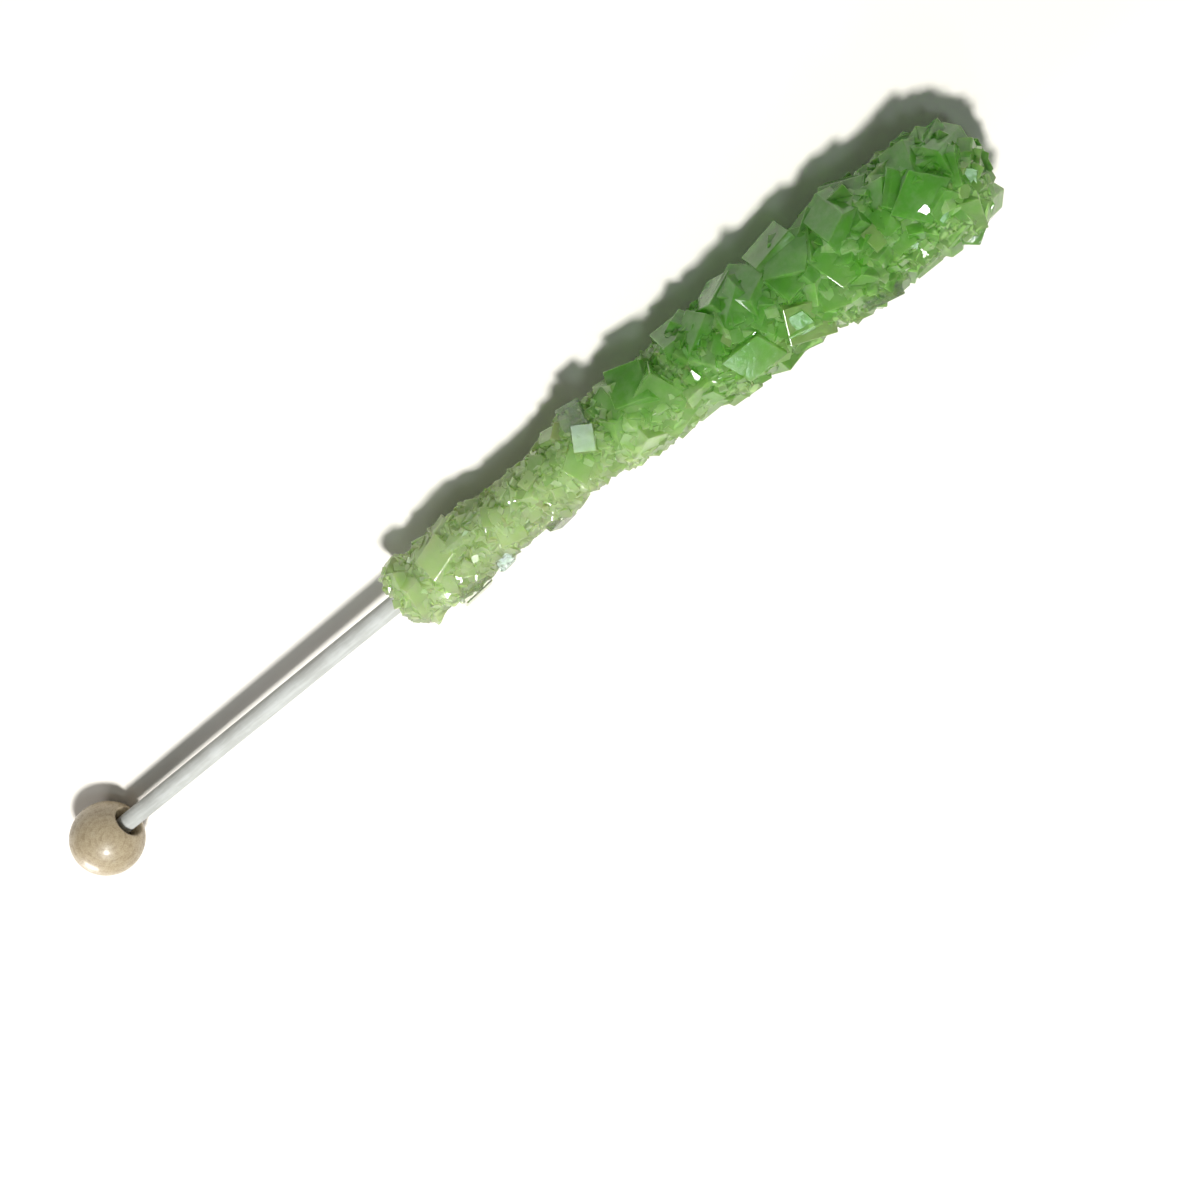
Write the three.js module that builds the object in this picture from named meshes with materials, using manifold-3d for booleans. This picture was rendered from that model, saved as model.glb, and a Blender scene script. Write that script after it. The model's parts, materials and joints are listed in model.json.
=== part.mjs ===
// Rock candy stick: a wooden ball on a rolled paper stick, with sugar crystals grown round the far end.
// Millimetres. +X runs along the stick from the ball to the tip of the candy and +Z is up.
// The stick lies on a table at z = 0, with the origin under the middle of the whole length and width.

import * as THREE from 'three';
import * as BufferGeometryUtils from 'three/addons/utils/BufferGeometryUtils.js';
import { ConvexGeometry } from 'three/addons/geometries/ConvexGeometry.js';
import Module from 'manifold-3d';

const wasm = await Module();
wasm.setup();

// Driving dimensions
const overallLength = 151;
const ballDiameter = 10.2;
const stickDiameter = 2.5;
const candyLength = 88;
const pieceGap = 0.3;

// The ball: a blind bore with a worn, flared mouth, and a small flat that it rests on
const mouthDiameter = 4.6;
const mouthDepth = 1.9;
const ballBoreDepth = 7.5;
const restingFlatDepth = 0.12;
const ballSides = 32;
const ballArcSteps = 16;

// The stick inside the candy ends this far short of the tip
const stickShortOfTip = 9;
const stickSides = 24;
const stickEndChamfer = 0.3;

// The axis climbs from the ball's centre to the thicker end of the candy, which lies on the table.
// The candy reaches further on its -Y side, so the stick lies off the middle of the whole width.
const ballRadius = ballDiameter / 2;
const ballX = -overallLength / 2 + ballRadius;
const ballZ = ballRadius - restingFlatDepth;
const stickY = 1.61;
const candyRestX = 60;
const candyRestZ = 7.05;
const axisTilt = Math.atan2(candyRestZ - ballZ, candyRestX - ballX);
const candyStart = (overallLength / 2 - candyLength - ballX) / Math.cos(axisTilt);

// How far the candy reaches from the stick's axis on its two long sides, which differ.
// Each station: distance along the candy, reach towards +Y, reach towards -Y.
const reachStations = [
  [0, 2.4, 2.4], [0.8, 4.7, 4.5], [3.5, 4.0, 4.5], [6.5, 4.7, 5.6], [9.5, 4.9, 5.6], [13.5, 5.0, 4.9],
  [17, 4.2, 4.9], [21, 4.3, 4.7], [25, 4.1, 5.6], [28, 4.4, 5.2], [31, 5.7, 4.9], [35, 5.5, 5.8],
  [40, 5.0, 6.4], [44, 5.1, 6.3], [47, 5.6, 6.1], [50, 5.8, 7.3], [53, 5.2, 7.6], [56, 5.8, 7.1],
  [60, 5.4, 7.6], [64, 5.7, 8.1], [67, 5.6, 9.0], [70, 6.2, 9.1], [74, 5.6, 8.9], [78, 5.7, 9.3],
  [82, 5.4, 9.3], [84.5, 4.4, 8.7], [86.5, 2.6, 6.8], [88, 0.2, 2.8],
];

// Sugar crystals: leaning blocks, some with two opposite edges cut, fine near the ball and coarse at the tip
const crystalLean = THREE.MathUtils.degToRad(13);
const crystalSizeNear = 2.7;
const crystalSizeFar = 4.9;
const crystalSpacing = 1.0;
const plainShare = 0.7;
const goldenAngle = Math.PI * (3 - Math.sqrt(5));
const firstCrystalAt = 0.3;

// Each crystal picks from these ranges: size as a share of the usual one, length over width, thickness over
// width, the cut of two opposite edges and the slant of its ends, and, as a share of its size, how far its
// highest corner stands past the general reach.
const sizeRange = [0.75, 1.25];
const stretchRange = [0.9, 1.5];
const flatnessRange = [0.6, 0.95];
const cutRange = [0.15, 0.4];
const slantRange = [-0.3, 0.3];
const heightRange = [-0.16, 0.04];

// The fixed random sequences that the crystals and the body pick from
const standoutSeed = 19;
const clearSeed = 29;
const coveringSeed = 20417;
const coreSeed = 51;
const randomMultiplier = 1664525;
const randomIncrement = 1013904223;
const randomModulus = 2 ** 32;

// Crystals that stand out: distance along the candy, angle round the axis in degrees (0 up, 90 towards +Y),
// size, length over width, and how far past the general reach they stand.
const standoutCrystals = [
  [0.9, 84, 1.8, 1.5, 0.4], [1.8, -84, 3.6, 1.0, 0.3], [9, 34, 3.6, 1.2, 0.2], [11, 82, 2.8, 1.1, 0.3],
  [33.5, 28, 2.8, 1.2, 0.4], [38.8, -38, 4.4, 1.2, 0.1], [39.5, 88, 4.4, 1.0, 0.2], [41.8, 58, 4.8, 1.1, 0.2],
  [43, 8, 6.0, 1.2, 0.1], [47.2, -30, 4.8, 1.1, 0.2], [48, 86, 4.6, 1.1, 0.1], [49.5, -94, 4.6, 1.2, 0],
  [51, 62, 5.0, 1.1, 0.1], [55.2, -16, 4.4, 1.2, 0.1], [55.5, 86, 4.4, 1.1, 0], [56.8, 34, 6.0, 1.1, 0.2],
  [57, -88, 4.6, 1.2, 0], [58.5, 64, 4.6, 1.3, 0.1], [62, -24, 5.0, 1.1, 0.1], [63.5, 84, 4.6, 1.2, 0.1],
  [65, 58, 5.2, 1.1, 0.1], [71.5, 62, 5.2, 1.2, 0.3], [72, 86, 4.6, 1.1, 0.1], [80.2, 58, 5.2, 1.1, -0.3],
  [80.2, 20, 4.6, 1.1, 0.2], [83, -34, 5.0, 1.1, 0.1], [83.5, 84, 4.8, 1.1, -0.6], [85.5, 34, 4.8, 1.0, 0],
  [84, -72, 5.2, 1.0, 0.1],
];

// The same for colourless crystals, most of them at the candy's edges
const clearCrystals = [
  [8.6, -60, 3.6, 1.2, 0.6], [14.5, -66, 2.4, 1.2, 0.5], [22.8, -68, 2.6, 1.1, 0.6], [33.5, 68, 3.2, 1.1, 0.5],
  [70.3, -58, 3.8, 1.2, 0.5],
];
const blockTilt = THREE.MathUtils.degToRad(15);

// The body under the crystals
const coreSides = 10;
const coreStep = 6.5;
const coreUnevenness = 0.12;
const coreInset = 0.6;
const coreCover = 0.3;
const finestDetail = 0.05;
const mergeDistance = 1e-4;

const woodMaterial = new THREE.MeshStandardMaterial({ color: 0xd2b98f, roughness: 0.55, metalness: 0 });
const paperMaterial = new THREE.MeshStandardMaterial({ color: 0xeeeeea, roughness: 0.8, metalness: 0 });
const candyMaterial = new THREE.MeshStandardMaterial({ color: 0x7cc465, roughness: 0.2, metalness: 0 });

let randomState = 0;

function restartRandom(seed) {
  randomState = seed;
}

// The next number from 0 up to 1, in a sequence that the last restart fixes
function random() {
  randomState = (Math.imul(randomState, randomMultiplier) + randomIncrement) >>> 0;
  return randomState / randomModulus;
}

function between(low, high) {
  return low + (high - low) * random();
}

function toSolid(geometry) {
  const bare = geometry.clone();
  bare.deleteAttribute('normal');
  bare.deleteAttribute('uv');
  const merged = BufferGeometryUtils.mergeVertices(bare, mergeDistance);
  return new wasm.Manifold(new wasm.Mesh({
    numProp: 3,
    vertProperties: new Float32Array(merged.attributes.position.array),
    triVerts: new Uint32Array(merged.index.array),
  }));
}

function toGeometry(solid) {
  const mesh = solid.getMesh();
  const geometry = new THREE.BufferGeometry();
  geometry.setAttribute('position', new THREE.BufferAttribute(mesh.vertProperties, 3));
  geometry.setIndex(new THREE.BufferAttribute(mesh.triVerts, 1));
  return geometry;
}

// Places that are measured along the stick's axis, from the ball's centre, are brought to the table's frame
const axisFrame = new THREE.Matrix4().makeTranslation(ballX, stickY, ballZ)
  .multiply(new THREE.Matrix4().makeRotationY(-axisTilt));

// A lathed profile turns about Y, so this lays its axis along +X
const latheToAxis = axisFrame.clone().multiply(new THREE.Matrix4().makeRotationZ(-Math.PI / 2));

// Everything below the table's surface
function belowTable() {
  const depth = 20;
  const slab = new THREE.BoxGeometry(overallLength * 1.5, depth * 2, depth);
  slab.translate(0, 0, -depth / 2);
  return toSolid(slab);
}

// The ball: round outside, with a flared mouth and a blind bore on the side of the candy
function makeBall() {
  const boreRadius = stickDiameter / 2 + pieceGap;
  const mouthRadius = mouthDiameter / 2;
  const mouthHeight = Math.sqrt(ballRadius ** 2 - mouthRadius ** 2);
  const mouthAngle = Math.asin(mouthRadius / ballRadius);
  const profile = [];
  for (let i = 0; i <= ballArcSteps; i++) {
    const angle = Math.PI - (Math.PI - mouthAngle) * i / ballArcSteps;
    const radius = i === 0 ? 0 : ballRadius * Math.sin(angle);
    profile.push(new THREE.Vector2(radius, ballRadius * Math.cos(angle)));
  }
  profile.push(new THREE.Vector2(boreRadius, mouthHeight - mouthDepth));
  profile.push(new THREE.Vector2(boreRadius, mouthHeight - ballBoreDepth));
  profile.push(new THREE.Vector2(0, mouthHeight - ballBoreDepth));
  const bead = new THREE.LatheGeometry(profile, ballSides);
  bead.applyMatrix4(latheToAxis);
  const solid = toSolid(bead).subtract(belowTable());
  const ball = new THREE.Mesh(toGeometry(solid), woodMaterial);
  ball.name = 'ball';
  return ball;
}

// The stick: one straight rolled rod, from the bottom of the ball's bore to near the tip
function makeStick() {
  const mouthHeight = Math.sqrt(ballRadius ** 2 - (mouthDiameter / 2) ** 2);
  const start = mouthHeight - ballBoreDepth + pieceGap;
  const end = candyStart + candyLength - stickShortOfTip;
  const radius = stickDiameter / 2;
  const profile = [
    new THREE.Vector2(0, start),
    new THREE.Vector2(radius - stickEndChamfer, start),
    new THREE.Vector2(radius, start + stickEndChamfer),
    new THREE.Vector2(radius, end - stickEndChamfer),
    new THREE.Vector2(radius - stickEndChamfer, end),
    new THREE.Vector2(0, end),
  ];
  const rod = new THREE.LatheGeometry(profile, stickSides);
  rod.applyMatrix4(latheToAxis);
  const stick = new THREE.Mesh(toGeometry(toSolid(rod)), paperMaterial);
  stick.name = 'stick';
  return stick;
}

// The candy's own middle line and radius at a distance along it
function girthAt(along) {
  let i = 1;
  while (i < reachStations.length - 1 && reachStations[i][0] < along) {
    i += 1;
  }
  const [fromAlong, fromPlus, fromMinus] = reachStations[i - 1];
  const [toAlong, toPlus, toMinus] = reachStations[i];
  const share = THREE.MathUtils.clamp((along - fromAlong) / (toAlong - fromAlong), 0, 1);
  const plus = fromPlus + (toPlus - fromPlus) * share;
  const minus = fromMinus + (toMinus - fromMinus) * share;
  const slope = (toPlus + toMinus - fromPlus - fromMinus) / 2 / (toAlong - fromAlong);
  return { middle: (plus - minus) / 2, radius: (plus + minus) / 2, slope };
}

// Point and outward direction on the candy's general surface, in the axis frame
function surfaceAt(along, angle) {
  const { middle, radius, slope } = girthAt(along);
  const around = new THREE.Vector3(0, Math.sin(angle), Math.cos(angle));
  const point = new THREE.Vector3(candyStart + along, middle, 0).addScaledVector(around, radius);
  const outward = around.clone().setX(-slope).normalize();
  return { point, outward };
}

function crystalSizeAt(along) {
  const share = THREE.MathUtils.smoothstep(along, 0, candyLength);
  return THREE.MathUtils.lerp(crystalSizeNear, crystalSizeFar, share);
}

// Turn picked evenly among all turns
function randomTurn() {
  const u = random();
  const v = random() * 2 * Math.PI;
  const w = random() * 2 * Math.PI;
  const a = Math.sqrt(1 - u);
  const b = Math.sqrt(u);
  return new THREE.Quaternion(a * Math.sin(v), a * Math.cos(v), b * Math.sin(w), b * Math.cos(w));
}

function turnAbout(x, y, z, angle) {
  return new THREE.Quaternion().setFromAxisAngle(new THREE.Vector3(x, y, z), angle);
}

// Turn that lays a block's broad side outwards at an angle round the axis, a little askew
function layingTurn(angle) {
  const turn = turnAbout(1, 0, 0, between(-blockTilt, blockTilt) - angle);
  turn.multiply(turnAbout(0, 1, 0, between(-blockTilt, blockTilt)));
  return turn.multiply(turnAbout(0, 0, 1, between(0, Math.PI)));
}

// Corners of one crystal: a leaning block with slanted ends, and with two opposite edges cut off where asked
function crystalCorners(size, stretch, flatness, cut, endSlant) {
  const corners = [];
  const outline = cut > 0
    ? [[-0.5, cut - 0.5], [cut - 0.5, -0.5], [0.5, -0.5], [0.5, 0.5 - cut], [0.5 - cut, 0.5], [-0.5, 0.5]]
    : [[-0.5, -0.5], [0.5, -0.5], [0.5, 0.5], [-0.5, 0.5]];
  for (const [a, c] of outline) {
    for (const end of [-0.5, 0.5]) {
      const across = a * size + c * size * flatness * Math.tan(crystalLean);
      corners.push(new THREE.Vector3(across, (end * stretch + a * endSlant) * size, c * size * flatness));
    }
  }
  return corners;
}

// A crystal whose outermost corner stands at the given height over the general surface,
// moved along where it would pass either end of the candy
function makeCrystal(along, angle, size, stretch, height, pickTurn) {
  const cut = random() < plainShare ? 0 : between(...cutRange);
  const corners = crystalCorners(size, stretch, between(...flatnessRange), cut, between(...slantRange));
  const turn = pickTurn(angle);
  const { point, outward } = surfaceAt(along, angle);
  for (const corner of corners) {
    corner.applyQuaternion(turn);
  }
  const highest = Math.max(...corners.map((corner) => corner.dot(outward)));
  const centre = point.addScaledVector(outward, height - highest);
  const first = centre.x + Math.min(...corners.map((corner) => corner.x));
  const last = centre.x + Math.max(...corners.map((corner) => corner.x));
  centre.x += Math.max(0, candyStart - first) - Math.max(0, last - candyStart - candyLength);
  for (const corner of corners) {
    corner.add(centre).applyMatrix4(axisFrame);
  }
  return toSolid(new ConvexGeometry(corners));
}

// Crystals spread evenly over the whole surface along a spiral, each with its own size, shape and turn
function makeCoveringCrystals() {
  restartRandom(coveringSeed);
  const crystals = [];
  let along = firstCrystalAt;
  let turns = 0;
  while (along < candyLength) {
    const { radius, slope } = girthAt(along);
    const size = crystalSizeAt(along) * between(...sizeRange);
    const stretch = between(...stretchRange);
    const height = between(...heightRange) * size;
    crystals.push(makeCrystal(along, goldenAngle * turns, size, stretch, height, randomTurn));
    const spacing = crystalSizeAt(along) * crystalSpacing;
    const surfaceStep = spacing ** 2 / (2 * Math.PI * Math.max(radius, spacing));
    along += surfaceStep / Math.hypot(1, slope);
    turns += 1;
  }
  return crystals;
}

// The uneven body that carries the crystals
function makeCore() {
  restartRandom(coreSeed);
  const rings = Math.round(candyLength / coreStep);
  const profile = [new THREE.Vector2(0, 0)];
  for (let i = 0; i <= rings; i++) {
    const along = THREE.MathUtils.lerp(coreInset, candyLength - coreCover * crystalSizeFar, i / rings);
    const radius = girthAt(along).radius - coreCover * crystalSizeAt(along);
    profile.push(new THREE.Vector2(Math.max(radius, stickDiameter), along));
  }
  profile.push(new THREE.Vector2(0, candyLength - coreInset));
  const lathe = new THREE.LatheGeometry(profile, coreSides);
  lathe.deleteAttribute('normal');
  lathe.deleteAttribute('uv');
  const core = BufferGeometryUtils.mergeVertices(lathe, mergeDistance);
  const position = core.attributes.position;
  for (let i = 0; i < position.count; i++) {
    const scale = 1 + between(-coreUnevenness, coreUnevenness);
    const along = position.getY(i);
    position.setX(i, position.getX(i) * scale - girthAt(along).middle);
    position.setY(i, candyStart + along);
    position.setZ(i, position.getZ(i) * scale);
  }
  core.applyMatrix4(latheToAxis);
  return toSolid(core);
}

// The hole round the stick
function makeStickSpace() {
  const radius = stickDiameter / 2 + pieceGap;
  const end = candyStart + candyLength - stickShortOfTip + pieceGap;
  const start = candyStart - crystalSizeFar;
  const space = new THREE.CylinderGeometry(radius, radius, end - start, stickSides);
  space.translate(0, (start + end) / 2, 0);
  space.applyMatrix4(latheToAxis);
  return toSolid(space);
}

// The largest connected piece, which leaves out loose scraps and fills sealed hollows
function largestPiece(solid) {
  const pieces = solid.decompose();
  return pieces.reduce((best, piece) => (piece.volume() > best.volume() ? piece : best));
}

function makeStandouts(places, seed) {
  restartRandom(seed);
  return places.map(([along, degrees, size, stretch, height]) => (
    makeCrystal(along, THREE.MathUtils.degToRad(degrees), size, stretch, height, layingTurn)));
}

// The candy: body and crystals grown together, flat where it lies on the table
function makeCandy() {
  const standouts = makeStandouts(standoutCrystals, standoutSeed);
  const clear = makeStandouts(clearCrystals, clearSeed);
  const grown = wasm.Manifold.union([makeCore(), ...makeCoveringCrystals(), ...standouts, ...clear]);
  const cut = largestPiece(grown).subtract(makeStickSpace()).subtract(belowTable());
  const candy = new THREE.Mesh(toGeometry(largestPiece(cut).simplify(finestDetail)), candyMaterial);
  candy.name = 'candy';
  return candy;
}

const group = new THREE.Group();
group.add(makeBall(), makeStick(), makeCandy());

export default group;
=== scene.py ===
# %% [markdown]
# # A rock candy stick
# Sugar crystals have grown on one end of a rolled paper stick, and a small wooden ball on the other
# end is the grip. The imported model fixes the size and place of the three: this script gives each of
# them a finer mesh and its finish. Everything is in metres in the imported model's own frame, where the
# stick runs along +X from the ball to the tip of the candy and the table is at z = 0.

import json
import math

import bmesh
import bpy
from mathutils import Matrix, Quaternion, Vector, noise

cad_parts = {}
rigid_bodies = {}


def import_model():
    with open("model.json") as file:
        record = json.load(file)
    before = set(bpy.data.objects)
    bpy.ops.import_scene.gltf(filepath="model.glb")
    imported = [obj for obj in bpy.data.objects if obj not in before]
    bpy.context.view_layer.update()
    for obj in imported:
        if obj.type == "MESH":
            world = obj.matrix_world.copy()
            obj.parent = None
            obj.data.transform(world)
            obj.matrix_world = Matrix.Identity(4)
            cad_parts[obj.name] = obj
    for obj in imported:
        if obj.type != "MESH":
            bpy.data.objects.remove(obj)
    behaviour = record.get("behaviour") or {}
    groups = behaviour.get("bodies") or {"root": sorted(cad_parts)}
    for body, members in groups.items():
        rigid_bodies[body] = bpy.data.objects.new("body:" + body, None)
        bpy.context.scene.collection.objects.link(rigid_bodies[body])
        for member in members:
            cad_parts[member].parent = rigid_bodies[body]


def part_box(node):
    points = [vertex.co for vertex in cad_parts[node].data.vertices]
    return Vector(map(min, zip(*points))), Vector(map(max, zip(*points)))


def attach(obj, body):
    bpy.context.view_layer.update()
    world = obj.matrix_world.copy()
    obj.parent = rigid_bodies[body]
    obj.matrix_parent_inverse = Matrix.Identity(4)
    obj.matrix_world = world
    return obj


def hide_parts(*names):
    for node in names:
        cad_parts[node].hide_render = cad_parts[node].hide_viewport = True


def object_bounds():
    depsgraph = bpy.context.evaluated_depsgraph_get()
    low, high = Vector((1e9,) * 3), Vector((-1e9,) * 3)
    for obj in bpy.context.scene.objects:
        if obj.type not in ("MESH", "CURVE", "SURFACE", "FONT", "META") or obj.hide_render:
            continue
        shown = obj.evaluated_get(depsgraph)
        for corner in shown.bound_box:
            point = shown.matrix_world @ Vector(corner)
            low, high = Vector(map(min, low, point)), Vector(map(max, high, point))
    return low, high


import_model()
cad_low, cad_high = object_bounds()
mm = 0.001
print("packed size in mm:", [round((high - low) / mm, 1) for low, high in zip(cad_low, cad_high)])

# %% [markdown]
# ## The camera
# The photograph looks down on the stick from above the tip, with the stick running from lower left to
# upper right. A camera could be pointed with a Track To constraint, but a roll as strong as this one is
# easier to state once: where the lens is, the point that it looks at, and how far it is rolled.

# %% Camera
lens_place = Vector((87.2, 70.2, 203.3)) * mm
lens_aim = Vector((6.1, -14.7, 7.0)) * mm
lens_roll = math.radians(-46.7)
lens_length = 55.15
sensor_width = 36
nearest_seen = 10 * mm
farthest_seen = 10


def make_camera():
    forward = (lens_aim - lens_place).normalized()
    level = forward.cross(Vector((0, 1, 0))).normalized()
    right = Quaternion(forward, -lens_roll) @ level
    up = right.cross(forward)
    data = bpy.data.cameras.new("camera")
    data.lens = lens_length
    data.sensor_width = sensor_width
    data.clip_start = nearest_seen
    data.clip_end = farthest_seen
    camera = bpy.data.objects.new("camera", data)
    turn = Matrix((right, up, -forward)).transposed().to_4x4()
    camera.matrix_world = Matrix.Translation(lens_place) @ turn
    bpy.context.scene.collection.objects.link(camera)
    return camera


bpy.context.scene.camera = make_camera()
print("camera is", round(lens_place.length / mm), "mm from the middle of the table")

# %% [markdown]
# ## The line that everything is built on
# Ball, stick and candy share one straight axis. It climbs a little, because the candy is thicker than
# the ball. Each piece is easiest to make lying along +X from the ball's centre in millimetres, so one
# matrix carries such a piece to its real place. The ball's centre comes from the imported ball's box.

# %% Axis
ball_low, ball_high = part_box("ball")
ball_radius = (ball_high.y - ball_low.y) / 2 / mm
ball_centre = Vector((ball_low.x + ball_radius * mm, (ball_low.y + ball_high.y) / 2,
                      ball_high.z - ball_radius * mm))
candy_rest = Vector((60, 0, 7.05)) * mm
axis_tilt = math.atan2(candy_rest.z - ball_centre.z, candy_rest.x - ball_centre.x)
to_place = Matrix.Translation(ball_centre) @ Matrix.Rotation(-axis_tilt, 4, "Y") @ Matrix.Scale(mm, 4)
along_axis = Matrix.Rotation(math.radians(90), 4, "Y")
print("axis climbs", round(math.degrees(axis_tilt), 2), "degrees, ball radius", round(ball_radius, 2), "mm")

# %% [markdown]
# ## Helpers for meshes and nodes
# A bmesh becomes a piece in one place, so that each piece gets its mesh, its materials and its body in
# the same way, and the imported part that it replaces is hidden. Shader nodes are made with a short
# helper too, because a node tree written out link by link is hard to read.


# %% Piece helper
node_of_slot = {"wood": "ball", "paper": "stick", "sugar": "candy"}


def make_piece(name, bm, materials, slot, smooth_degrees=None):
    """Turns a bmesh in axis millimetres into a piece in its real place that rides on the part's one body."""
    bmesh.ops.transform(bm, matrix=to_place, verts=bm.verts)
    mesh = bpy.data.meshes.new(name)
    bm.to_mesh(mesh)
    bm.free()
    if smooth_degrees is not None:
        mesh.shade_smooth()
        mesh.set_sharp_from_angle(angle=math.radians(smooth_degrees))
    for material in materials:
        mesh.materials.append(material)
    piece = bpy.data.objects.new(name, mesh)
    bpy.context.scene.collection.objects.link(piece)
    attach(piece, "root")
    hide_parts(node_of_slot[slot])
    triangles = sum(len(face.vertices) - 2 for face in mesh.polygons)
    print(name, "has", triangles, "triangles")
    return piece


# %% Node helpers
def new_material(name):
    material = bpy.data.materials.new(name)
    material.use_nodes = True
    return material, material.node_tree, material.node_tree.nodes["Principled BSDF"]


def add_node(tree, kind, settings=None, **inputs):
    """Adds a node; each input is a value or another node's output socket."""
    node = tree.nodes.new(kind)
    for key, value in (settings or {}).items():
        setattr(node, key, value)
    for key, value in inputs.items():
        socket = node.inputs[key.replace("_", " ")]
        if isinstance(value, bpy.types.NodeSocket):
            tree.links.new(value, socket)
        else:
            socket.default_value = value
    return node


def math_node(tree, operation, first, second):
    node = tree.nodes.new("ShaderNodeMath")
    node.operation = operation
    for socket, value in zip(node.inputs, (first, second)):
        if isinstance(value, bpy.types.NodeSocket):
            tree.links.new(value, socket)
        else:
            socket.default_value = value
    return node.outputs[0]


def ramp_node(tree, factor, stops):
    """A colour ramp with (place, colour) stops."""
    node = tree.nodes.new("ShaderNodeValToRGB")
    ramp = node.color_ramp
    ramp.elements[0].position, ramp.elements[0].color = stops[0][0], (*stops[0][1], 1)
    ramp.elements[1].position, ramp.elements[1].color = stops[-1][0], (*stops[-1][1], 1)
    for place, colour in stops[1:-1]:
        ramp.elements.new(place).color = (*colour, 1)
    tree.links.new(factor, node.inputs["Fac"])
    return node.outputs["Color"]


def object_places(tree, centre=(0, 0, 0), turn=(0, 0, 0)):
    """Object coordinates in millimetres from a centre, turned so that a pattern can follow a piece."""
    where = tree.nodes.new("ShaderNodeTexCoord").outputs["Object"]
    mapping = add_node(tree, "ShaderNodeMapping", {"vector_type": "TEXTURE"}, Vector=where)
    mapping.inputs["Location"].default_value = centre
    mapping.inputs["Rotation"].default_value = turn
    mapping.inputs["Scale"].default_value = (mm, mm, mm)
    return mapping.outputs["Vector"]


# %% [markdown]
# ## Fine speckle, shared by all three finishes
# Wood, paper and sugar all carry small uneven marks: pores, fibres, and milky flaws. One node group
# makes such marks at any size, and puts out a mask for colour and a height for bump, so that each
# finish only says how large and how strong its own marks are.


# %% Speckle group
fine_marks_per_broad = 4.0
fine_share = 0.35


def make_speckle_group():
    group = bpy.data.node_groups.new("uneven marks", "ShaderNodeTree")
    group.interface.new_socket("Place", in_out="INPUT", socket_type="NodeSocketVector")
    size = group.interface.new_socket("Marks per mm", in_out="INPUT", socket_type="NodeSocketFloat")
    size.default_value = 2
    stretch = group.interface.new_socket("Stretch", in_out="INPUT", socket_type="NodeSocketVector")
    stretch.default_value = (1, 1, 1)
    group.interface.new_socket("Mask", in_out="OUTPUT", socket_type="NodeSocketFloat")
    group.interface.new_socket("Height", in_out="OUTPUT", socket_type="NodeSocketFloat")
    entry = group.nodes.new("NodeGroupInput")
    leave = group.nodes.new("NodeGroupOutput")
    place = add_node(group, "ShaderNodeVectorMath", {"operation": "MULTIPLY"})
    group.links.new(entry.outputs["Place"], place.inputs[0])
    group.links.new(entry.outputs["Stretch"], place.inputs[1])
    per_mm = entry.outputs["Marks per mm"]
    broad = add_node(group, "ShaderNodeTexNoise", Vector=place.outputs[0], Scale=per_mm, Detail=3.0,
                     Roughness=0.6)
    fine_size = math_node(group, "MULTIPLY", per_mm, fine_marks_per_broad)
    fine = add_node(group, "ShaderNodeTexNoise", Vector=place.outputs[0], Scale=fine_size, Detail=2.0)
    mask = add_node(group, "ShaderNodeMapRange", {"interpolation_type": "SMOOTHSTEP"},
                    Value=broad.outputs["Fac"], From_Min=0.35, From_Max=0.68)
    fine_part = math_node(group, "MULTIPLY", fine.outputs["Fac"], fine_share)
    height = math_node(group, "ADD", broad.outputs["Fac"], fine_part)
    group.links.new(mask.outputs["Result"], leave.inputs["Mask"])
    group.links.new(height, leave.inputs["Height"])
    return group


uneven_marks = make_speckle_group()


def add_marks(tree, place, per_mm, stretch=(1, 1, 1)):
    node = tree.nodes.new("ShaderNodeGroup")
    node.node_tree = uneven_marks
    tree.links.new(place, node.inputs["Place"])
    node.inputs["Marks per mm"].default_value = per_mm
    node.inputs["Stretch"].default_value = stretch
    return node.outputs["Mask"], node.outputs["Height"]


def add_bump(tree, shader, height, strength, distance):
    bump = add_node(tree, "ShaderNodeBump", Height=height, Strength=strength, Distance=distance)
    tree.links.new(bump.outputs["Normal"], shader.inputs["Normal"])


print("speckle group has", len(uneven_marks.nodes), "nodes")

# %% [markdown]
# ## The wooden ball
# The grip is a turned wooden ball, drilled from one side, with the stick pressed into the hole. Seen
# closely the hole is wider at its mouth than the stick, so a dark ring shows round it. A sphere is cut
# off flat at the mouth, the cut edge is drawn in to the drill's width and down to its depth, and the rim
# is bevelled because a tumbled ball has no sharp edge. Last, the small flat on which it rests is cut.

# %% Ball mesh
stick_radius = 1.25
mouth_radius = 2.3
mouth_depth = 1.9
bore_radius = stick_radius + 0.3
bore_depth = 7.5
rim_round = 0.13
flare = [(0.9 * mouth_radius, 0.25), (1.12 * bore_radius, 0.6 * mouth_depth), (bore_radius, mouth_depth),
         (bore_radius, bore_depth)]
mouth_height = math.sqrt(ball_radius ** 2 - mouth_radius ** 2)


def draw_in(bm, edges, radius, height):
    """Extrudes an open ring of edges to a new radius and height about Z."""
    drawn = bmesh.ops.extrude_edge_only(bm, edges=edges)["geom"]
    ring = [item for item in drawn if isinstance(item, bmesh.types.BMVert)]
    now = ring[0].co.xy.length
    bmesh.ops.scale(bm, verts=ring, vec=(radius / now, radius / now, 1))
    bmesh.ops.translate(bm, verts=ring, vec=(0, 0, height - ring[0].co.z))
    return [item for item in drawn if isinstance(item, bmesh.types.BMEdge)]


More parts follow.
